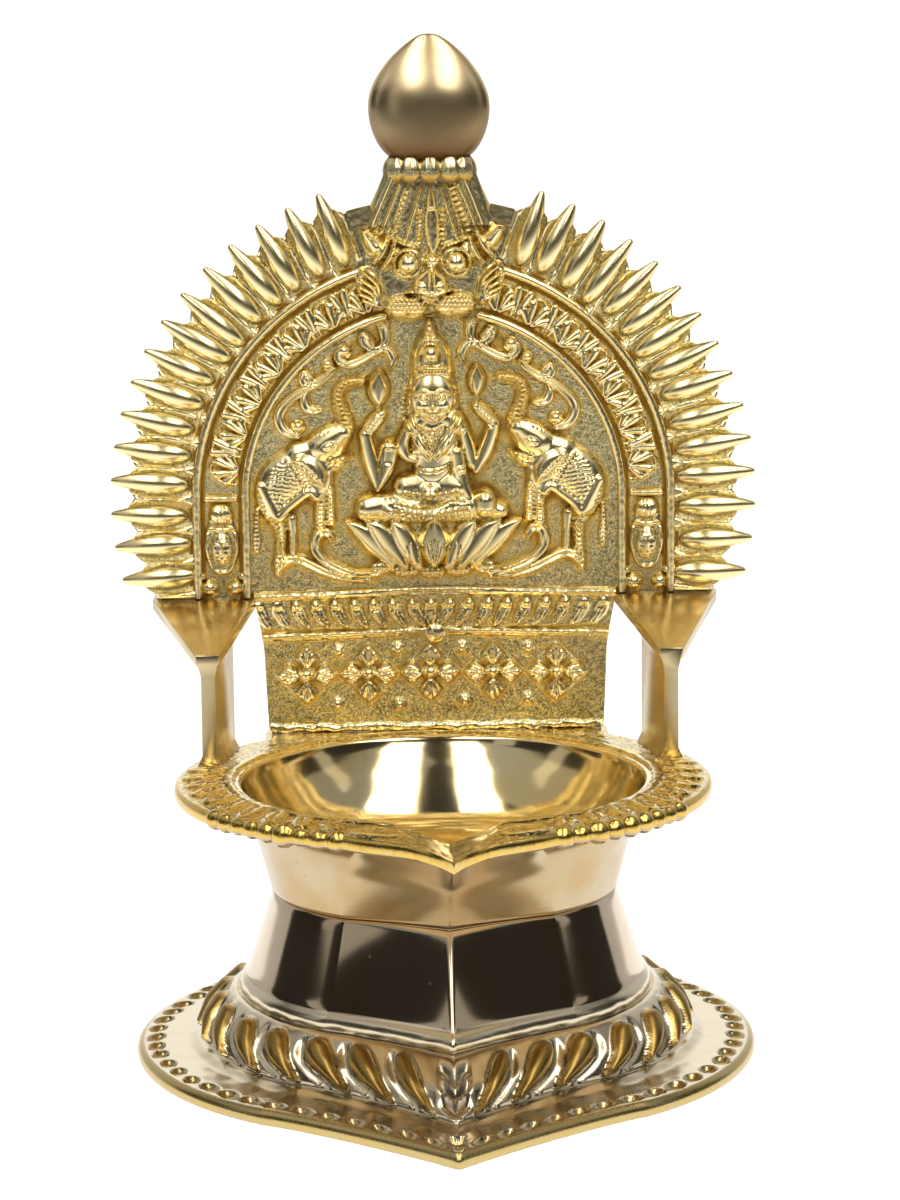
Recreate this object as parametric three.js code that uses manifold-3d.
// Kamakshi lamp: a cast brass oil lamp with a keeled, hollow pedestal, a spouted oil bowl,
// and an arched back plate that shelters a seated figure under a lion-face mask.
// Millimetres, +Z up. The foot rests on z = 0, the spout points along -Y and the back plate stands
// behind the bowl, facing -Y. Pieces are shaped about the bowl's own upright axis, and the whole
// lamp is then set back so that the middle of its footprint is the origin.
import * as THREE from 'three';
import { mergeVertices } from 'three/addons/utils/BufferGeometryUtils.js';
import Module from 'manifold-3d';

const wasm = await Module();
wasm.setup();

// Pedestal: rim, raised leaf band, ledge and neck
const FOOT_RADIUS = 63;
const FOOT_TIP_REACH = 79.6;
const RIM_EDGE_HEIGHT = 2.2;
const RIM_CROWN_HEIGHT = 3;
const RIM_BEVEL = 1.4;
const BEAD_BAND_WIDTH = 5.5;
const LEAF_BAND_FOOT_RADIUS = 49.5;
const LEAF_BAND_FOOT_REACH = 65.5;
const LEAF_BAND_FOOT_HEIGHT = 4.4;
const LEAF_BAND_TOP_RADIUS = 43;
const LEAF_BAND_TOP_REACH = 52.5;
const LEAF_BAND_TOP_HEIGHT = 13.2;
const LEDGE_GROOVE = 1.2;
const LEDGE_HEIGHT = 2.6;
const NECK_BASE_RADIUS = 40.2;
const NECK_BASE_REACH = 48.8;
const NECK_BASE_HEIGHT = 16.9;
const NECK_TOP_RADIUS = 34.8;
const NECK_TOP_REACH = 37.2;
const NECK_TOP_HEIGHT = 33.9;
const PEDESTAL_WALL = 3;
const DECK_THICKNESS = 3.5;
const DECK_HOLE_RADIUS = 22;

// Carving of the pedestal: leaning leaf hollows on the band, slanting beads on the rim
const LEAVES_PER_SIDE = 14;
const LEAF_FIRST_RUN = 9.6;
const LEAF_HALF_WIDTH = 2.4;
const LEAF_HALF_LENGTH = 5.8;
const LEAF_DEPTH = 1.6;
const LEAF_LEAN_DEGREES = 30;
const BEADS_PER_SIDE = 31;
const BEAD_FIRST_RUN = 6.6;
const BEAD_HALF_WIDTH = 1.1;
const BEAD_HALF_LENGTH = 2.3;
const BEAD_RELIEF = 1;
const BEAD_LEAN_DEGREES = 66;

// Oil bowl: body, flange, spout and the seat behind it for the plate
const BOWL_SKIRT_OVERHANG = 0.4;
const BOWL_WAIST_RADIUS = 37.6;
const BOWL_WAIST_REACH = 46.5;
const BOWL_WAIST_HEIGHT = 43.7;
const BOWL_BROW_RADIUS = 42.5;
const BOWL_BROW_REACH = 61.5;
const FLANGE_RADIUS = 54.3;
const FLANGE_TIP_REACH = 70;
const FLANGE_THICKNESS = 3.2;
const FLANGE_TOP_HEIGHT = 56;
const OPENING_RADIUS = 41;
const OPENING_LEAD = 0.8;
const BOWL_FLOOR_HEIGHT = 37;
const SPOUT_HALF_WIDTH = 10;
const SPOUT_DEPTH = 4;
const SPOUT_FLOOR_SHARE = 0.35;
const SPOUT_REACH = 64;
const SPOUT_END_HALF_WIDTH = 1.4;
const SPOUT_END_DEPTH = 0.8;
const KNOB_RADIUS = 2;
const KNOBS_PER_SIDE = 9;
const KNOB_FIRST_DEGREES = 26;
const KNOB_PITCH_DEGREES = 4.2;
const TONGUES_PER_SIDE = 10;
const TONGUE_FIRST_DEGREES = 27;
const TONGUE_HALF_WIDTH = 2.4;
const TONGUE_HALF_LENGTH = 4;
const TONGUE_RELIEF = 0.75;
const TONGUE_LEAN_DEGREES = 24;
const LOBE_OFFSET = 13.6;
const LOBE_REACH = 49.2;
const LOBE_HALF_WIDTH = 4.2;
const LOBE_HALF_LENGTH = 6.6;
const LOBE_RELIEF = 0.9;
const LOBE_LEAN_DEGREES = 81;
const SEAT_WIDTH = 74;
const SEAT_FRONT_DEPTH = 31;
const SEAT_CORNER_RADIUS = 4;
const BOSS_RADIUS = 7;
const BOSS_LENGTH = 2.8;

// Clamp that holds the bowl down on the pedestal
const STUD_RADIUS = 3;
const STUD_SEAT_DEPTH = 1.3;
const CLAMP_BAR_LENGTH = 60;
const CLAMP_BAR_WIDTH = 12;
const CLAMP_BAR_THICKNESS = 3;
const WASHER_RADIUS = 6.5;
const WASHER_THICKNESS = 1.2;
const NUT_ACROSS_CORNERS = 11.5;
const NUT_THICKNESS = 5;
const STUD_TAIL = 3;
const CLEARANCE = 0.3;

// Back plate
const PLATE_FRONT = 46;
const PLATE_THICKNESS = 2.8;
const PLATE_FOOT_WIDTH = 72.7;
const WING_BOTTOM_HEIGHT = 85.7;
const WING_BOTTOM_HALF_WIDTH = 60;
const WAIST_FLARE = 1.8;
const ARCH_CENTRE_HEIGHT = 106.5;
const RAY_TIP_RADIUS = 69;
const RAY_VALLEY_RADIUS = 64;
const RAY_ROOT_RADIUS = 52.4;
const RAY_COUNT = 15;
const RAY_FIRST_DEGREES = -14.1;
const RAY_PITCH_DEGREES = 6;
const RAY_HALF_WIDTH = 2.8;
const RAY_RELIEF = 2.2;
const OUTER_RIDGE_RADIUS = 50.6;
const INNER_RIDGE_RADIUS = 40;
const RIDGE_HALF_WIDTH = 1.3;
const RIDGE_RELIEF = 1.6;
const RIDGE_END_DEGREES = 72;
const NECK_PANEL_BOTTOM_HEIGHT = 164;
const NECK_PANEL_BOTTOM_HALF_WIDTH = 13.4;
const NECK_PANEL_TOP_HEIGHT = 175.5;
const NECK_PANEL_TOP_HALF_WIDTH = 9.4;
const BUD_BOTTOM_HEIGHT = 177.5;
const BUD_HEIGHT = 26.8;
const BUD_RADIUS = 12.8;
const BUD_FLATNESS_SHARE = 0.5;
const COLLAR_HALF_WIDTH = 9.6;
const COLLAR_HALF_HEIGHT = 3;
const COLLAR_RELIEF = 3;
const BRAZE_HALF_WIDTH = 1.2;

// Foot panel of the plate: gadroon band, flowers and rivet
const GADROON_COUNT = 19;
const GADROON_PITCH = 3.9;
const GADROON_HALF_WIDTH = 1.6;
const GADROON_HALF_HEIGHT = 3.6;
const GADROON_RELIEF = 1.3;
const GADROON_BAND_HEIGHT = 82.2;
const GADROON_LEAN_DEGREES = 12;
const PANEL_RIDGE_HEIGHTS = [77.2, 87];
const FLOWER_COUNT = 5;
const FLOWER_PITCH = 13.4;
const FLOWER_HEIGHT = 68.7;
const FLOWER_HALF_DIAGONAL = 6.8;
const FLOWER_RELIEF = 2;
const RIVET_HEIGHT = 77.4;
const RIVET_HEAD_RADIUS = 2.3;
const RIVET_HEAD_RELIEF = 1.9;
const RIVET_SHANK_RADIUS = 1.3;

// Rear stay: the angle strap that the rivet clamps behind the plate
const STAY_WIDTH = 14;
const STAY_THICKNESS = 3;
const STAY_HEIGHT = 27;
const STAY_FOOT_LENGTH = 5.2;

// Pillars: an upright fin on the flange and a shelf that carries the wing
const PILLAR_FRONT_OFFSET = 47.6;
const PILLAR_REAR_OFFSET = 44.4;
const PILLAR_FRONT_DEPTH = 13.2;
const PILLAR_REAR_DEPTH = 30.4;
const FIN_THICKNESS = 3;
const FIN_FOOT_THICKNESS = 5;
const FIN_FOOT_HEIGHT = 2.2;
const SHELF_THICKNESS = 2.2;
const SHELF_FRONT_HEIGHT = 79.1;
const SHELF_FRONT_WIDTH = 4.8;
const SHELF_REAR_INNER = 38.4;
const SHELF_REAR_OUTER = 60.4;

// Facets and the overrun of every cut
const ARC_STEPS = 30;
const NOSE_STEPS = 7;
const ROUND_STEPS = 40;
const SMALL_ROUND_STEPS = 16;
const CUT_OVERRUN = 1;
const SHOULDER_DEGREES = 36;
const LIP_SHOULDER_DEGREES = 22.7;

// The nose of a plan outline, between the end of its round and its tip: two Bezier handles,
// across as a share of the half width there, along as a share of the way to the tip
const FOOT_NOSE_SHARES = [[0.76, 0.16], [0.27, 0.66]];
const NECK_NOSE_SHARES = [[0.74, 0.2], [0.3, 0.6]];
const LIP_NOSE_SHARES = [[0.67, 0.36], [0.17, 0.38]];

const brass = new THREE.MeshStandardMaterial({ color: 0xd2a64b, roughness: 0.25, metalness: 1 });
const roughBrass = new THREE.MeshStandardMaterial({ color: 0xb98a35, roughness: 0.5, metalness: 1 });
const steel = new THREE.MeshStandardMaterial({ color: 0x9b9b96, roughness: 0.4, metalness: 1 });

function radians(degrees) {
  return THREE.MathUtils.degToRad(degrees);
}

// Closed bodies and booleans

function signedVolume(points, faces) {
  let volume = 0;
  for (const [a, b, c] of faces) {
    volume += points[a].dot(new THREE.Vector3().crossVectors(points[b], points[c])) / 6;
  }
  return volume;
}

function solidFromFaces(points, faces) {
  const outward = signedVolume(points, faces) > 0;
  const triangles = outward ? faces : faces.map(([a, b, c]) => [a, c, b]);
  return new wasm.Manifold(new wasm.Mesh({
    numProp: 3,
    vertProperties: new Float32Array(points.flatMap((p) => [p.x, p.y, p.z])),
    triVerts: new Uint32Array(triangles.flat()),
  }));
}

function solidFromGeometry(geometry) {
  const bare = geometry.clone();
  bare.deleteAttribute('normal');
  bare.deleteAttribute('uv');
  const merged = mergeVertices(bare);
  const place = merged.attributes.position;
  const points = [];
  for (let i = 0; i < place.count; i += 1) {
    points.push(new THREE.Vector3().fromBufferAttribute(place, i));
  }
  const index = merged.index.array;
  const faces = [];
  for (let i = 0; i < index.length; i += 3) {
    const face = [index[i], index[i + 1], index[i + 2]];
    if (new Set(face).size === 3) faces.push(face);
  }
  return solidFromFaces(points, faces);
}

function joined(solids) {
  return solids.reduce((whole, next) => whole.add(next));
}

function meshFrom(name, solid, material) {
  const result = solid.getMesh();
  const geometry = new THREE.BufferGeometry();
  geometry.setAttribute('position', new THREE.BufferAttribute(result.vertProperties, 3));
  geometry.setIndex(new THREE.BufferAttribute(result.triVerts, 1));
  geometry.computeVertexNormals();
  const mesh = new THREE.Mesh(geometry, material);
  mesh.name = name;
  return mesh;
}

// Rings of equally many points, one above the other, closed by a fan at each end
function loft(rings) {
  const count = rings[0].length;
  const points = rings.flat();
  const faces = [];
  for (let r = 0; r + 1 < rings.length; r += 1) {
    for (let i = 0; i < count; i += 1) {
      const next = (i + 1) % count;
      const a = r * count + i;
      const b = r * count + next;
      faces.push([a, b, b + count], [a, b + count, a + count]);
    }
  }
  for (const end of [0, rings.length - 1]) {
    const centre = new THREE.Vector3();
    rings[end].forEach((point) => centre.addScaledVector(point, 1 / count));
    const middle = points.push(centre) - 1;
    for (let i = 0; i < count; i += 1) {
      const a = end * count + i;
      const b = end * count + (i + 1) % count;
      faces.push(end === 0 ? [middle, b, a] : [middle, a, b]);
    }
  }
  return solidFromFaces(points, faces);
}

function box(low, high) {
  const size = new THREE.Vector3().subVectors(high, low);
  const geometry = new THREE.BoxGeometry(size.x, size.y, size.z);
  const middle = new THREE.Vector3().addVectors(low, high).multiplyScalar(0.5);
  return solidFromGeometry(geometry.translate(middle.x, middle.y, middle.z));
}

function upright(radius, bottom, top, steps) {
  const geometry = new THREE.CylinderGeometry(radius, radius, top - bottom, steps);
  return solidFromGeometry(geometry.rotateX(Math.PI / 2).translate(0, 0, (top + bottom) / 2));
}

function turned(profile, steps) {
  const outline = profile.map(([radius, height]) => new THREE.Vector2(radius, height));
  return solidFromGeometry(new THREE.LatheGeometry(outline, steps).rotateX(Math.PI / 2));
}

// Plan outline: round at the sides and back, drawn out to a keel at the front

function planRing(radius, reach, height, noseShares, shoulderDegrees) {
  const shoulder = radians(shoulderDegrees);
  const across = radius * Math.sin(shoulder);
  const along = radius * Math.cos(shoulder);
  const handles = noseShares.map(([acrossShare, alongShare]) => new THREE.Vector2(
    -across * acrossShare, -along - (reach - along) * alongShare));
  const start = new THREE.Vector2(-across, -along);
  const tip = new THREE.Vector2(0, -reach);
  const nose = new THREE.CubicBezierCurve(start, handles[0], handles[1], tip).getPoints(NOSE_STEPS);
  const ring = [];
  for (let i = 0; i < ARC_STEPS; i += 1) {
    const angle = shoulder + (2 * Math.PI - 2 * shoulder) * i / ARC_STEPS;
    ring.push(new THREE.Vector3(radius * Math.sin(angle), -radius * Math.cos(angle), height));
  }
  nose.forEach((point) => ring.push(new THREE.Vector3(point.x, point.y, height)));
  nose.slice(1, -1).reverse().forEach((point) => {
    ring.push(new THREE.Vector3(-point.x, point.y, height));
  });
  return ring;
}

function mixShares(first, second, share) {
  return first.map((pair, i) => pair.map((value, j) => value + (second[i][j] - value) * share));
}

// A place on a band between two rings, a run away from the keel to one side, with the directions
// along the band, up across it and out of it
function placeOnBand([low, middle, high], run, side) {
  const count = middle.length;
  const after = (i) => (i + side + count) % count;
  const gap = (i) => middle[i].distanceTo(middle[after(i)]);
  let here = ARC_STEPS + NOSE_STEPS;
  let rest = run;
  while (rest > gap(here)) {
    rest -= gap(here);
    here = after(here);
  }
  const between = (ring) => ring[here].clone().lerp(ring[after(here)], rest / gap(here));
  const along = middle[after(here)].clone().sub(middle[here]).normalize();
  const across = between(high).sub(between(low));
  const out = new THREE.Vector3().crossVectors(along, across).normalize().multiplyScalar(side);
  const up = new THREE.Vector3().crossVectors(out, along).multiplyScalar(side);
  return { at: between(middle), along, up, out };
}

// An oval swelling out of a face at a place. It is longest up the face, leaned towards along.
function oval({ at, along, up, out }, halfWidth, halfLength, relief, leanDegrees) {
  const lean = radians(leanDegrees);
  const lengthwise = up.clone().multiplyScalar(Math.cos(lean)).addScaledVector(along, Math.sin(lean));
  const crosswise = new THREE.Vector3().crossVectors(lengthwise, out);
  const turn = new THREE.Matrix4().makeBasis(crosswise.multiplyScalar(halfWidth),
    lengthwise.multiplyScalar(halfLength), out.clone().multiplyScalar(relief));
  const ball = new THREE.SphereGeometry(1, 8, 6);
  return solidFromGeometry(ball.applyMatrix4(turn.setPosition(at)));
}

// Ovals spread evenly along both sides of a band, from the keel to the back
function ovalsOnBand(rings, countPerSide, firstRun, halfWidth, halfLength, relief, leanDegrees) {
  const middle = rings[1];
  const girth = middle.reduce((sum, point, i) => (
    sum + point.distanceTo(middle[(i + 1) % middle.length])), 0);
  const pitch = (girth / 2 - firstRun) / (countPerSide - 1 / 2);
  const solids = [];
  for (const side of [-1, 1]) {
    for (let i = 0; i < countPerSide; i += 1) {
      const place = placeOnBand(rings, firstRun + pitch * i, side);
      solids.push(oval(place, halfWidth, halfLength, relief, leanDegrees));
    }
  }
  return joined(solids);
}

// Pedestal

function pedestalOuterRings() {
  const footToNeck = (share) => mixShares(FOOT_NOSE_SHARES, NECK_NOSE_SHARES, share);
  const bandMiddle = {
    radius: (LEAF_BAND_FOOT_RADIUS * 3 + LEAF_BAND_TOP_RADIUS) / 4,
    reach: (LEAF_BAND_FOOT_REACH * 3 + LEAF_BAND_TOP_REACH) / 4,
    height: (LEAF_BAND_FOOT_HEIGHT + LEAF_BAND_TOP_HEIGHT) / 2,
  };
  const beadInner = FOOT_RADIUS - BEAD_BAND_WIDTH;
  const sections = [
    [FOOT_RADIUS, FOOT_TIP_REACH, 0, 0],
    [FOOT_RADIUS, FOOT_TIP_REACH, RIM_EDGE_HEIGHT, 0],
    [FOOT_RADIUS - RIM_BEVEL, FOOT_TIP_REACH - RIM_BEVEL, RIM_CROWN_HEIGHT, 0],
    [beadInner, FOOT_TIP_REACH - BEAD_BAND_WIDTH, RIM_CROWN_HEIGHT, 0.1],
    [LEAF_BAND_FOOT_RADIUS, LEAF_BAND_FOOT_REACH, LEAF_BAND_FOOT_HEIGHT, 0.3],
    [bandMiddle.radius, bandMiddle.reach, bandMiddle.height, 0.5],
    [LEAF_BAND_TOP_RADIUS, LEAF_BAND_TOP_REACH, LEAF_BAND_TOP_HEIGHT, 0.7],
    [LEAF_BAND_TOP_RADIUS - LEDGE_GROOVE, LEAF_BAND_TOP_REACH - LEDGE_GROOVE, LEAF_BAND_TOP_HEIGHT, 0.8],
    [LEAF_BAND_TOP_RADIUS - LEDGE_GROOVE, LEAF_BAND_TOP_REACH - LEDGE_GROOVE,
      LEAF_BAND_TOP_HEIGHT + LEDGE_HEIGHT, 0.9],
    [NECK_BASE_RADIUS, NECK_BASE_REACH, NECK_BASE_HEIGHT, 1],
    [NECK_TOP_RADIUS, NECK_TOP_REACH, NECK_TOP_HEIGHT, 1],
  ];
  return sections.map(([radius, reach, height, share]) => (
    planRing(radius, reach, height, footToNeck(share), SHOULDER_DEGREES)));
}

// Rings of the outside that border the bead row and the leaf band
const CROWN_RING = 2;
const BEAD_INNER_RING = 3;
const LEAF_FOOT_RING = 4;
const LEAF_MIDDLE_RING = 5;
const LEAF_TOP_RING = 6;

function rimBeads(rings) {
  const outer = rings[CROWN_RING];
  const inner = rings[BEAD_INNER_RING];
  const middle = outer.map((point, i) => point.clone().lerp(inner[i], 0.5));
  return ovalsOnBand([outer, middle, inner], BEADS_PER_SIDE, BEAD_FIRST_RUN, BEAD_HALF_WIDTH,
    BEAD_HALF_LENGTH, BEAD_RELIEF, BEAD_LEAN_DEGREES);
}

function leafHollows(rings) {
  const band = [rings[LEAF_FOOT_RING], rings[LEAF_MIDDLE_RING], rings[LEAF_TOP_RING]];
  return ovalsOnBand(band, LEAVES_PER_SIDE, LEAF_FIRST_RUN, LEAF_HALF_WIDTH, LEAF_HALF_LENGTH,
    LEAF_DEPTH, LEAF_LEAN_DEGREES);
}

function pedestalHollowRings() {
  const footToNeck = (share) => mixShares(FOOT_NOSE_SHARES, NECK_NOSE_SHARES, share);
  const deckUnderside = NECK_TOP_HEIGHT - DECK_THICKNESS;
  const sections = [
    [LEAF_BAND_FOOT_RADIUS - PEDESTAL_WALL, LEAF_BAND_FOOT_REACH - PEDESTAL_WALL, -CUT_OVERRUN, 0.3],
    [LEAF_BAND_FOOT_RADIUS - PEDESTAL_WALL, LEAF_BAND_FOOT_REACH - PEDESTAL_WALL,
      LEAF_BAND_FOOT_HEIGHT - PEDESTAL_WALL / 2, 0.3],
    [LEAF_BAND_TOP_RADIUS - PEDESTAL_WALL, LEAF_BAND_TOP_REACH - PEDESTAL_WALL,
      LEAF_BAND_TOP_HEIGHT - PEDESTAL_WALL, 0.7],
    [NECK_BASE_RADIUS - PEDESTAL_WALL, NECK_BASE_REACH - PEDESTAL_WALL, NECK_BASE_HEIGHT, 1],
    [NECK_TOP_RADIUS - PEDESTAL_WALL, NECK_TOP_REACH - PEDESTAL_WALL, deckUnderside, 1],
  ];
  return sections.map(([radius, reach, height, share]) => (
    planRing(radius, reach, height, footToNeck(share), SHOULDER_DEGREES)));
}

function pedestal() {
  const deckHole = upright(DECK_HOLE_RADIUS, NECK_TOP_HEIGHT - DECK_THICKNESS - CUT_OVERRUN,
    NECK_TOP_HEIGHT + CUT_OVERRUN, ROUND_STEPS);
  const rings = pedestalOuterRings();
  return loft(rings)
    .add(rimBeads(rings))
    .subtract(leafHollows(rings))
    .subtract(loft(pedestalHollowRings()))
    .subtract(deckHole);
}

// Oil bowl

function bowlRings() {
  const neckToLip = (share) => mixShares(NECK_NOSE_SHARES, LIP_NOSE_SHARES, share);
  const skirtRadius = NECK_TOP_RADIUS + BOWL_SKIRT_OVERHANG;
  const skirtReach = NECK_TOP_REACH + BOWL_SKIRT_OVERHANG;
  const underside = FLANGE_TOP_HEIGHT - FLANGE_THICKNESS;
  const turn = (LIP_SHOULDER_DEGREES - SHOULDER_DEGREES);
  const sections = [
    [skirtRadius, skirtReach, NECK_TOP_HEIGHT, 0],
    [(skirtRadius + BOWL_WAIST_RADIUS) / 2, (skirtReach + BOWL_WAIST_REACH) / 2,
      (NECK_TOP_HEIGHT + BOWL_WAIST_HEIGHT) / 2, 0.15],
    [BOWL_WAIST_RADIUS, BOWL_WAIST_REACH, BOWL_WAIST_HEIGHT, 0.3],
    [(BOWL_WAIST_RADIUS * 3 + BOWL_BROW_RADIUS * 2) / 5, (BOWL_WAIST_REACH + BOWL_BROW_REACH) / 2,
      (BOWL_WAIST_HEIGHT + underside) / 2, 0.6],
    [BOWL_BROW_RADIUS, BOWL_BROW_REACH, underside, 1],
    [FLANGE_RADIUS, FLANGE_TIP_REACH, underside, 1],
    [FLANGE_RADIUS, FLANGE_TIP_REACH, FLANGE_TOP_HEIGHT, 1],
  ];
  return sections.map(([radius, reach, height, share]) => (
    planRing(radius, reach, height, neckToLip(share), SHOULDER_DEGREES + turn * share)));
}

// The turned inside of the bowl, from the axis out to above the flange
function bowlInside() {
  const depth = FLANGE_TOP_HEIGHT - BOWL_FLOOR_HEIGHT;
  const wallShares = [[0.45, 0.02], [0.67, 0.13], [0.81, 0.34], [0.915, 0.63], [1, 1]];
  const profile = [[0, BOWL_FLOOR_HEIGHT]];
  wallShares.forEach(([radiusShare, depthShare]) => {
    profile.push([OPENING_RADIUS * radiusShare, BOWL_FLOOR_HEIGHT + depth * depthShare]);
  });
  profile.push([OPENING_RADIUS + OPENING_LEAD, FLANGE_TOP_HEIGHT + CUT_OVERRUN]);
  profile.push([0, FLANGE_TOP_HEIGHT + CUT_OVERRUN]);
  return turned(profile, ROUND_STEPS);
}

// The pouring channel: a trough with sloping sides that thins out towards the tip
function spoutChannel() {
  const sections = [
    [OPENING_RADIUS - SPOUT_HALF_WIDTH / 2, SPOUT_HALF_WIDTH, SPOUT_DEPTH],
    [SPOUT_REACH, SPOUT_END_HALF_WIDTH, SPOUT_END_DEPTH],
  ];
  const rings = sections.map(([reach, halfWidth, depth]) => {
    const floorHalfWidth = halfWidth * SPOUT_FLOOR_SHARE;
    return [
      new THREE.Vector3(-halfWidth, -reach, FLANGE_TOP_HEIGHT + CUT_OVERRUN),
      new THREE.Vector3(-halfWidth, -reach, FLANGE_TOP_HEIGHT),
      new THREE.Vector3(-floorHalfWidth, -reach, FLANGE_TOP_HEIGHT - depth),
      new THREE.Vector3(floorHalfWidth, -reach, FLANGE_TOP_HEIGHT - depth),
      new THREE.Vector3(halfWidth, -reach, FLANGE_TOP_HEIGHT),
      new THREE.Vector3(halfWidth, -reach, FLANGE_TOP_HEIGHT + CUT_OVERRUN),
    ];
  });
  return loft(rings);
}

function flangeKnobs() {
  const knobs = [];
  for (const side of [-1, 1]) {
    for (let i = 0; i < KNOBS_PER_SIDE; i += 1) {
      const angle = radians(KNOB_FIRST_DEGREES + KNOB_PITCH_DEGREES * i);
      const ball = new THREE.SphereGeometry(KNOB_RADIUS, 6, 4);
      const reach = FLANGE_RADIUS - KNOB_RADIUS / 2;
      ball.translate(side * reach * Math.sin(angle), -reach * Math.cos(angle),
        FLANGE_TOP_HEIGHT - FLANGE_THICKNESS / 2);
      knobs.push(solidFromGeometry(ball));
    }
  }
  return joined(knobs);
}

function placeOnFlange(reach, angle, side) {
  const up = new THREE.Vector3(side * Math.sin(angle), -Math.cos(angle), 0);
  const along = new THREE.Vector3(side * Math.cos(angle), Math.sin(angle), 0);
  const at = up.clone().multiplyScalar(reach).setZ(FLANGE_TOP_HEIGHT);
  return { at, along, up, out: new THREE.Vector3(0, 0, 1) };
}

// Leaf tongues round the flange, from the spout to just before the pillars
function flangeTongues() {
  const reach = (OPENING_RADIUS + FLANGE_RADIUS) / 2;
  const first = radians(TONGUE_FIRST_DEGREES);
  const last = Math.PI / 2 + Math.asin((PILLAR_FRONT_DEPTH - TONGUE_HALF_WIDTH * 2) / reach);
  const tongues = [];
  for (const side of [-1, 1]) {
    for (let i = 0; i < TONGUES_PER_SIDE; i += 1) {
      const angle = THREE.MathUtils.lerp(first, last, i / (TONGUES_PER_SIDE - 1));
      tongues.push(oval(placeOnFlange(reach, angle, side), TONGUE_HALF_WIDTH, TONGUE_HALF_LENGTH,
        TONGUE_RELIEF, -TONGUE_LEAN_DEGREES));
    }
  }
  return joined(tongues);
}

// One low lobe on each side of the pouring channel
function spoutLobes() {
  const reach = Math.hypot(LOBE_OFFSET, LOBE_REACH);
  const angle = Math.atan2(LOBE_OFFSET, LOBE_REACH);
  return joined([-1, 1].map((side) => oval(placeOnFlange(reach, angle, side), LOBE_HALF_WIDTH,
    LOBE_HALF_LENGTH, LOBE_RELIEF, -LOBE_LEAN_DEGREES)));
}

// Square shoulders behind the bowl, where the plate and its stay stand
function plateSeat() {
  const half = SEAT_WIDTH / 2;
  const shape = new THREE.Shape();
  shape.moveTo(-half, SEAT_FRONT_DEPTH);
  shape.lineTo(half, SEAT_FRONT_DEPTH);
  shape.lineTo(half, FLANGE_RADIUS - SEAT_CORNER_RADIUS);
  shape.absarc(half - SEAT_CORNER_RADIUS, FLANGE_RADIUS - SEAT_CORNER_RADIUS, SEAT_CORNER_RADIUS,
    0, Math.PI / 2, false);
  shape.absarc(SEAT_CORNER_RADIUS - half, FLANGE_RADIUS - SEAT_CORNER_RADIUS, SEAT_CORNER_RADIUS,
    Math.PI / 2, Math.PI, false);
  const slab = new THREE.ExtrudeGeometry(shape,
    { depth: FLANGE_THICKNESS, bevelEnabled: false, curveSegments: 4 });
  return solidFromGeometry(slab.translate(0, 0, FLANGE_TOP_HEIGHT - FLANGE_THICKNESS));
}

function oilBowl() {
  const boss = upright(BOSS_RADIUS, NECK_TOP_HEIGHT - BOSS_LENGTH, NECK_TOP_HEIGHT + CUT_OVERRUN,
    SMALL_ROUND_STEPS);
  const studHole = upright(STUD_RADIUS + CLEARANCE, NECK_TOP_HEIGHT - BOSS_LENGTH - CUT_OVERRUN,
    NECK_TOP_HEIGHT + STUD_SEAT_DEPTH + CLEARANCE, SMALL_ROUND_STEPS);
  return joined([loft(bowlRings()), plateSeat(), flangeKnobs(), flangeTongues(), spoutLobes(), boss])
    .subtract(bowlInside())
    .subtract(spoutChannel())
    .subtract(studHole);
}

// Clamp under the bowl: stud, bar, washer and nut

const deckUnderside = NECK_TOP_HEIGHT - DECK_THICKNESS;
const barUnderside = deckUnderside - CLAMP_BAR_THICKNESS;
const washerUnderside = barUnderside - WASHER_THICKNESS;
const nutUnderside = washerUnderside - NUT_THICKNESS;

function clampStud() {
  return upright(STUD_RADIUS, nutUnderside - STUD_TAIL, NECK_TOP_HEIGHT + STUD_SEAT_DEPTH,
    SMALL_ROUND_STEPS);
}

function studClearance(bottom, top) {
  return upright(STUD_RADIUS + CLEARANCE, bottom - CUT_OVERRUN, top + CUT_OVERRUN, SMALL_ROUND_STEPS);
}

function clampBar() {
  const low = new THREE.Vector3(-CLAMP_BAR_LENGTH / 2, -CLAMP_BAR_WIDTH / 2, barUnderside);
  const high = new THREE.Vector3(CLAMP_BAR_LENGTH / 2, CLAMP_BAR_WIDTH / 2, deckUnderside);
  return box(low, high).subtract(studClearance(barUnderside, deckUnderside));
}

function clampWasher() {
  return upright(WASHER_RADIUS, washerUnderside, barUnderside, SMALL_ROUND_STEPS)
    .subtract(studClearance(washerUnderside, barUnderside));
}

function clampNut() {
  return upright(NUT_ACROSS_CORNERS / 2, nutUnderside, washerUnderside, 6)
    .subtract(studClearance(nutUnderside, washerUnderside));
}

// Relief on the face of the plate. x runs across, z up, and each form swells out of the face.

// An oval swelling, longest along its own direction, which is measured from upright
function swelling(x, z, halfWidth, halfLength, relief, leanDegrees = 0) {
  const ball = new THREE.SphereGeometry(1, 8, 6);
  ball.scale(halfWidth, halfLength, relief).rotateX(Math.PI / 2);
  ball.rotateY(radians(leanDegrees)).translate(x, PLATE_FRONT, z);
  return solidFromGeometry(ball);
}

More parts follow.
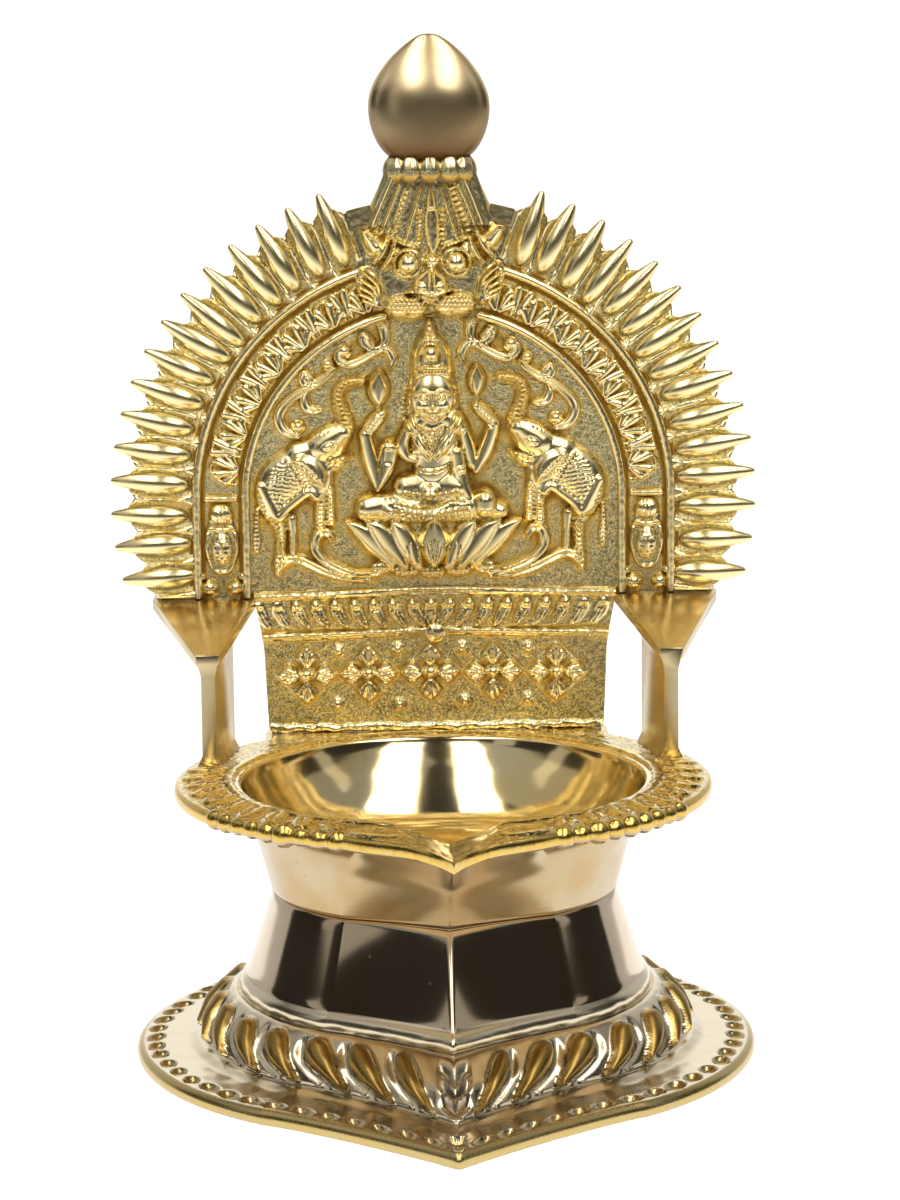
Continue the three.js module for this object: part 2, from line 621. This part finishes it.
// A raised rib that follows a line of [x, z] places
function rib(line, halfWidth, relief) {
  const back = PLATE_FRONT + PLATE_THICKNESS / 2;
  const rings = line.map(([x, z], i) => {
    const before = line[Math.max(i - 1, 0)];
    const after = line[Math.min(i + 1, line.length - 1)];
    const along = new THREE.Vector2(after[0] - before[0], after[1] - before[1]).normalize();
    const side = new THREE.Vector2(-along.y, along.x).multiplyScalar(halfWidth);
    return [
      new THREE.Vector3(x - side.x, back, z - side.y),
      new THREE.Vector3(x - side.x, PLATE_FRONT - relief / 3, z - side.y),
      new THREE.Vector3(x, PLATE_FRONT - relief, z),
      new THREE.Vector3(x + side.x, PLATE_FRONT - relief / 3, z + side.y),
      new THREE.Vector3(x + side.x, back, z + side.y),
    ];
  });
  return loft(rings);
}

function bothSides(solid) {
  return solid.add(solid.mirror([1, 0, 0]));
}

// Keeps only what stands in front of the middle of the plate
function onFace(solid) {
  const reach = RAY_TIP_RADIUS * 2;
  const middle = PLATE_FRONT + PLATE_THICKNESS / 2;
  return solid.subtract(box(
    new THREE.Vector3(-reach, middle, 0),
    new THREE.Vector3(reach, middle + reach, ARCH_CENTRE_HEIGHT + reach)));
}

function polar(radius, degrees) {
  const angle = radians(degrees);
  return [radius * Math.cos(angle), ARCH_CENTRE_HEIGHT + radius * Math.sin(angle)];
}

// Outline of the plate, right half from the foot up to the bud, then the left half down again
function plateOutline() {
  const half = PLATE_FOOT_WIDTH / 2;
  const right = [
    [half, FLANGE_TOP_HEIGHT],
    [half + WAIST_FLARE, WING_BOTTOM_HEIGHT],
    [WING_BOTTOM_HALF_WIDTH, WING_BOTTOM_HEIGHT],
  ];
  const shoulderRadius = (RAY_TIP_RADIUS * 2 + RAY_VALLEY_RADIUS) / 3;
  for (let i = 0; i < RAY_COUNT; i += 1) {
    const angle = RAY_FIRST_DEGREES + RAY_PITCH_DEGREES * i;
    right.push(polar(RAY_VALLEY_RADIUS, angle - RAY_PITCH_DEGREES / 2));
    right.push(polar(shoulderRadius, angle - RAY_PITCH_DEGREES / 4));
    right.push(polar(RAY_TIP_RADIUS, angle));
    right.push(polar(shoulderRadius, angle + RAY_PITCH_DEGREES / 4));
  }
  right.push([NECK_PANEL_BOTTOM_HALF_WIDTH, NECK_PANEL_BOTTOM_HEIGHT]);
  right.push([NECK_PANEL_TOP_HALF_WIDTH, NECK_PANEL_TOP_HEIGHT]);
  right.push([NECK_PANEL_TOP_HALF_WIDTH, BUD_BOTTOM_HEIGHT]);
  const left = right.map(([x, z]) => [-x, z]).reverse();
  return right.concat(left);
}

function plateSlab() {
  const shape = new THREE.Shape(plateOutline().map(([x, z]) => new THREE.Vector2(x, z)));
  const slab = new THREE.ExtrudeGeometry(shape, { depth: PLATE_THICKNESS, bevelEnabled: false });
  return solidFromGeometry(slab.rotateX(Math.PI / 2).translate(0, PLATE_FRONT + PLATE_THICKNESS, 0));
}

function rays() {
  const middle = (RAY_ROOT_RADIUS + RAY_TIP_RADIUS) / 2;
  const halfLength = (RAY_TIP_RADIUS - RAY_ROOT_RADIUS) / 2;
  const solids = [];
  for (let i = 0; i < RAY_COUNT; i += 1) {
    const angle = RAY_FIRST_DEGREES + RAY_PITCH_DEGREES * i;
    const [x, z] = polar(middle, angle);
    solids.push(swelling(x, z, RAY_HALF_WIDTH, halfLength, RAY_RELIEF, 90 - angle));
  }
  return joined(solids);
}

function archRidge(radius) {
  const line = [];
  const first = -Math.asin((ARCH_CENTRE_HEIGHT - WING_BOTTOM_HEIGHT) / radius) + radians(2);
  const steps = 16;
  for (let i = 0; i <= steps; i += 1) {
    const angle = THREE.MathUtils.lerp(first, radians(RIDGE_END_DEGREES), i / steps);
    line.push(polar(radius, THREE.MathUtils.radToDeg(angle)));
  }
  return rib(line, RIDGE_HALF_WIDTH, RIDGE_RELIEF);
}

// Foot panel: two level ridges, slanting gadroons between them, diamond flowers below

function levelRidge(height) {
  const half = PLATE_FOOT_WIDTH / 2 - RIDGE_HALF_WIDTH;
  return rib([[-half, height], [half, height]], RIDGE_HALF_WIDTH, RIDGE_RELIEF);
}

function gadroons() {
  const middle = (GADROON_COUNT - 1) / 2;
  const solids = [];
  for (let i = 0; i < GADROON_COUNT; i += 1) {
    const lean = GADROON_LEAN_DEGREES * Math.sign(i - middle);
    solids.push(swelling((i - middle) * GADROON_PITCH, GADROON_BAND_HEIGHT, GADROON_HALF_WIDTH,
      GADROON_HALF_HEIGHT, GADROON_RELIEF, lean));
  }
  return joined(solids);
}

function flowers() {
  const solids = [];
  for (let i = 0; i < FLOWER_COUNT; i += 1) {
    const pyramid = new THREE.CylinderGeometry(0, FLOWER_HALF_DIAGONAL, FLOWER_RELIEF * 2, 4);
    pyramid.rotateX(Math.PI / 2);
    pyramid.translate((i - (FLOWER_COUNT - 1) / 2) * FLOWER_PITCH, PLATE_FRONT, FLOWER_HEIGHT);
    solids.push(solidFromGeometry(pyramid));
  }
  return joined(solids);
}

function brazeBead() {
  const half = PLATE_FOOT_WIDTH / 2;
  const height = FLANGE_TOP_HEIGHT + BRAZE_HALF_WIDTH;
  return rib([[-half, height], [half, height]], BRAZE_HALF_WIDTH, BRAZE_HALF_WIDTH);
}

// The seated figure on its lotus, the elephants, the mask and the bud. Places and sizes of each
// form are shares: across and up of the panel's radius, measured from the centre of the arch.

const FIGURE_SHARES = [
  { form: 'cushion', at: [0, -0.39], size: [0.33, 0.05], relief: 0.07, lean: 0 },
  { form: 'lotus seat', at: [0, -0.24], size: [0.42, 0.14], relief: 0.1, lean: 0 },
  { form: 'legs', at: [0, -0.03], size: [0.38, 0.09], relief: 0.12, lean: 0 },
  { form: 'torso', at: [0, 0.2], size: [0.15, 0.24], relief: 0.11, lean: 0 },
  { form: 'head', at: [0, 0.55], size: [0.12, 0.14], relief: 0.13, lean: 0 },
  { form: 'crown', at: [0, 0.76], size: [0.1, 0.2], relief: 0.11, lean: 0 },
  { form: 'right upper arm', at: [-0.21, 0.31], size: [0.06, 0.13], relief: 0.09, lean: -25 },
  { form: 'left upper arm', at: [0.21, 0.31], size: [0.06, 0.13], relief: 0.09, lean: 25 },
  { form: 'left forearm', at: [0.26, 0.1], size: [0.055, 0.13], relief: 0.1, lean: 0 },
  { form: 'right rear arm', at: [-0.25, 0.5], size: [0.05, 0.14], relief: 0.07, lean: 20 },
  { form: 'left rear arm', at: [0.25, 0.5], size: [0.05, 0.14], relief: 0.07, lean: -20 },
];

const ELEPHANT_SHARES = [
  { form: 'body', at: [0.77, 0.1], size: [0.17, 0.2], relief: 0.11, lean: 12 },
  { form: 'head', at: [0.6, 0.31], size: [0.11, 0.12], relief: 0.11, lean: 0 },
  { form: 'ear', at: [0.7, 0.24], size: [0.07, 0.11], relief: 0.13, lean: 20 },
  { form: 'front leg', at: [0.62, -0.02], size: [0.06, 0.17], relief: 0.09, lean: 0 },
  { form: 'hind leg', at: [0.8, -0.24], size: [0.07, 0.18], relief: 0.09, lean: 0 },
];

const TRUNK_SHARES = [[0.53, 0.3], [0.46, 0.42], [0.46, 0.54], [0.5, 0.65], [0.42, 0.66]];
const TRUNK_HALF_WIDTH_SHARE = 0.035;
const TRUNK_RELIEF_SHARE = 0.09;

const MASK_SHARES = [
  { form: 'brow', at: [0, 1.25], size: [0.27, 0.13], relief: 0.09, lean: 0 },
  { form: 'muzzle', at: [0, 1.06], size: [0.24, 0.14], relief: 0.11, lean: 0 },
  { form: 'nose', at: [0, 1.13], size: [0.11, 0.06], relief: 0.15, lean: 0 },
];

const MASK_PAIR_SHARES = [
  { form: 'eye', at: [0.13, 1.25], size: [0.06, 0.06], relief: 0.14, lean: 0 },
  { form: 'cheek', at: [0.13, 1.02], size: [0.09, 0.05], relief: 0.15, lean: 0 },
  { form: 'ear', at: [0.32, 1.16], size: [0.07, 0.09], relief: 0.09, lean: 30 },
];

const HORN_SHARES = [[0.2, 1.3], [0.27, 1.42], [0.38, 1.47], [0.41, 1.53]];
const HORN_HALF_WIDTH_SHARE = 0.035;
const HORN_RELIEF_SHARE = 0.09;

const WING_HEAD_SHARES = {
  form: 'wing head', at: [1.14, -0.22], size: [0.09, 0.16], relief: 0.09, lean: 0,
};

function formFromShares({ at, size, relief, lean }) {
  const unit = INNER_RIDGE_RADIUS;
  return swelling(at[0] * unit, ARCH_CENTRE_HEIGHT + at[1] * unit, size[0] * unit, size[1] * unit,
    relief * unit, lean);
}

function ribFromShares(shares, halfWidthShare, reliefShare) {
  const unit = INNER_RIDGE_RADIUS;
  const line = shares.map(([across, up]) => [across * unit, ARCH_CENTRE_HEIGHT + up * unit]);
  return rib(line, halfWidthShare * unit, reliefShare * unit);
}

function seatedFigure() {
  return joined(FIGURE_SHARES.map(formFromShares));
}

function elephants() {
  const trunk = ribFromShares(TRUNK_SHARES, TRUNK_HALF_WIDTH_SHARE, TRUNK_RELIEF_SHARE);
  return bothSides(joined(ELEPHANT_SHARES.map(formFromShares)).add(trunk));
}

function lionMask() {
  const pairs = joined(MASK_PAIR_SHARES.map(formFromShares));
  const horn = ribFromShares(HORN_SHARES, HORN_HALF_WIDTH_SHARE, HORN_RELIEF_SHARE);
  return joined(MASK_SHARES.map(formFromShares)).add(bothSides(pairs.add(horn)));
}

// The bud stands on the collar with a small flat foot
function budFinial() {
  const profileShares = [[0, 0], [0.5, 0], [0.84, 0.17], [1, 0.42], [0.9, 0.6], [0.6, 0.76],
    [0.24, 0.87], [0, 1]];
  const profile = profileShares.map(([radiusShare, heightShare]) => (
    [BUD_RADIUS * radiusShare, BUD_BOTTOM_HEIGHT + BUD_HEIGHT * heightShare]));
  return turned(profile, SMALL_ROUND_STEPS)
    .scale([1, BUD_FLATNESS_SHARE, 1])
    .translate([0, PLATE_FRONT + PLATE_THICKNESS / 2, 0]);
}

function petalCollar() {
  const height = BUD_BOTTOM_HEIGHT - COLLAR_HALF_HEIGHT / 2;
  const middle = PLATE_FRONT + PLATE_THICKNESS / 2;
  const ball = new THREE.SphereGeometry(1, 12, 6);
  ball.scale(COLLAR_HALF_WIDTH, COLLAR_RELIEF + PLATE_THICKNESS / 2, COLLAR_HALF_HEIGHT);
  const above = box(
    new THREE.Vector3(-BUD_RADIUS, middle - BUD_RADIUS, BUD_BOTTOM_HEIGHT),
    new THREE.Vector3(BUD_RADIUS, middle + BUD_RADIUS, BUD_BOTTOM_HEIGHT + BUD_HEIGHT));
  return solidFromGeometry(ball.translate(0, middle, height)).subtract(above);
}

function rivetHole(back) {
  const hole = upright(RIVET_SHANK_RADIUS + CLEARANCE, -back, -PLATE_FRONT + RIDGE_RELIEF + CUT_OVERRUN,
    SMALL_ROUND_STEPS);
  return hole.rotate([90, 0, 0]).translate([0, 0, RIVET_HEIGHT]);
}

// A flat spot that the rivet's head beds on, cut level with the face
function rivetSpot() {
  const low = -PLATE_FRONT;
  const spot = upright(RIVET_HEAD_RADIUS + CLEARANCE, low, low + RIDGE_RELIEF + RIVET_HEAD_RADIUS,
    SMALL_ROUND_STEPS);
  return spot.rotate([90, 0, 0]).translate([0, 0, RIVET_HEIGHT]);
}

function archPlate() {
  const ridges = [OUTER_RIDGE_RADIUS, INNER_RIDGE_RADIUS].map(archRidge);
  const paired = bothSides(joined([rays(), formFromShares(WING_HEAD_SHARES), ...ridges]));
  const footPanel = joined([gadroons(), flowers(), brazeBead(), ...PANEL_RIDGE_HEIGHTS.map(levelRidge)]);
  const below = box(
    new THREE.Vector3(-PLATE_FOOT_WIDTH, PLATE_FRONT - PLATE_FOOT_WIDTH, 0),
    new THREE.Vector3(PLATE_FOOT_WIDTH, PLATE_FRONT + PLATE_FOOT_WIDTH, FLANGE_TOP_HEIGHT));
  const relief = onFace(joined([paired, footPanel, seatedFigure(), elephants(), lionMask()]));
  return joined([plateSlab(), relief, petalCollar()])
    .subtract(below)
    .subtract(rivetSpot())
    .subtract(rivetHole(PLATE_FRONT + PLATE_THICKNESS + CUT_OVERRUN));
}

// Rivet and stay behind the plate

const plateBack = PLATE_FRONT + PLATE_THICKNESS;
const stayBack = plateBack + STAY_THICKNESS;

function plateRivet() {
  const dome = (start, direction) => {
    const steps = 3;
    const profile = [];
    for (let i = 0; i <= steps; i += 1) {
      const angle = (Math.PI / 2) * i / steps;
      const rise = direction * RIVET_HEAD_RELIEF * Math.sin(angle);
      profile.push([RIVET_HEAD_RADIUS * Math.cos(angle), start + rise]);
    }
    profile[steps][0] = 0;
    return profile;
  };
  const front = dome(-PLATE_FRONT, 1).reverse();
  const back = dome(-stayBack, -1);
  const profile = [...front, [RIVET_SHANK_RADIUS, -PLATE_FRONT], [RIVET_SHANK_RADIUS, -stayBack], ...back];
  return turned(profile, SMALL_ROUND_STEPS).rotate([90, 0, 0]).translate([0, 0, RIVET_HEIGHT]);
}

function rearStay() {
  const bottom = FLANGE_TOP_HEIGHT;
  const half = STAY_WIDTH / 2;
  const strap = box(new THREE.Vector3(-half, plateBack, bottom),
    new THREE.Vector3(half, stayBack, bottom + STAY_HEIGHT));
  const foot = box(new THREE.Vector3(-half, plateBack, bottom),
    new THREE.Vector3(half, plateBack + STAY_FOOT_LENGTH, bottom + STAY_THICKNESS));
  return strap.add(foot).subtract(rivetHole(stayBack + CUT_OVERRUN));
}

// Pillars, built for the right side and mirrored for the left

// Height of the shelf's top at a depth: it climbs from the pillar's front to the plate
function shelfTop(depth) {
  const share = (depth - PILLAR_FRONT_DEPTH) / (PLATE_FRONT - PILLAR_FRONT_DEPTH);
  return THREE.MathUtils.lerp(SHELF_FRONT_HEIGHT, WING_BOTTOM_HEIGHT, share);
}

function shelf() {
  const ring = (depth, inner, outer) => {
    const top = Math.min(shelfTop(depth), WING_BOTTOM_HEIGHT);
    return [
      new THREE.Vector3(inner, depth, top - SHELF_THICKNESS),
      new THREE.Vector3(outer, depth, top - SHELF_THICKNESS),
      new THREE.Vector3(outer, depth, top),
      new THREE.Vector3(inner, depth, top),
    ];
  };
  const halfFront = SHELF_FRONT_WIDTH / 2;
  return loft([
    ring(PILLAR_FRONT_DEPTH, PILLAR_FRONT_OFFSET - halfFront, PILLAR_FRONT_OFFSET + halfFront),
    ring(PLATE_FRONT - CLEARANCE, SHELF_REAR_INNER, SHELF_REAR_OUTER),
    ring(plateBack, SHELF_REAR_INNER, SHELF_REAR_OUTER),
  ]);
}

function finEdge(offset, depth, halfThickness, height) {
  return [
    new THREE.Vector3(offset - halfThickness, depth, height),
    new THREE.Vector3(offset + halfThickness, depth, height),
  ];
}

function fin() {
  const ring = (halfThickness, frontHeight, rearHeight) => {
    const front = finEdge(PILLAR_FRONT_OFFSET, PILLAR_FRONT_DEPTH, halfThickness, frontHeight);
    const rear = finEdge(PILLAR_REAR_OFFSET, PILLAR_REAR_DEPTH, halfThickness, rearHeight);
    return [front[0], front[1], rear[1], rear[0]];
  };
  const bottom = FLANGE_TOP_HEIGHT;
  const footHalf = FIN_FOOT_THICKNESS / 2;
  const half = FIN_THICKNESS / 2;
  const sink = SHELF_THICKNESS / 2;
  const shelfFront = shelfTop(PILLAR_FRONT_DEPTH);
  const shelfRear = shelfTop(PILLAR_REAR_DEPTH);
  return loft([
    ring(footHalf, bottom, bottom),
    ring(half, bottom + FIN_FOOT_HEIGHT, bottom + FIN_FOOT_HEIGHT),
    ring(half, shelfFront - SHELF_THICKNESS * 2, shelfRear - SHELF_THICKNESS * 2),
    ring(SHELF_FRONT_WIDTH / 2, shelfFront - sink, shelfRear - sink),
  ]);
}

function pillar() {
  return fin().add(shelf());
}

// Assembly

const lamp = new THREE.Group();
lamp.name = 'kamakshi_lamp';
lamp.position.y = (FOOT_TIP_REACH - FOOT_RADIUS) / 2;
lamp.add(
  meshFrom('pedestal', pedestal(), brass),
  meshFrom('oil_bowl', oilBowl(), brass),
  meshFrom('clamp_stud', clampStud(), steel),
  meshFrom('clamp_bar', clampBar(), roughBrass),
  meshFrom('clamp_washer', clampWasher(), steel),
  meshFrom('clamp_nut', clampNut(), steel),
  meshFrom('arch_plate', archPlate(), roughBrass),
  meshFrom('bud_finial', budFinial(), brass),
  meshFrom('plate_rivet', plateRivet(), brass),
  meshFrom('rear_stay', rearStay(), roughBrass),
  meshFrom('pillar_right', pillar(), brass),
  meshFrom('pillar_left', pillar().mirror([1, 0, 0]), brass),
);

export default lamp;
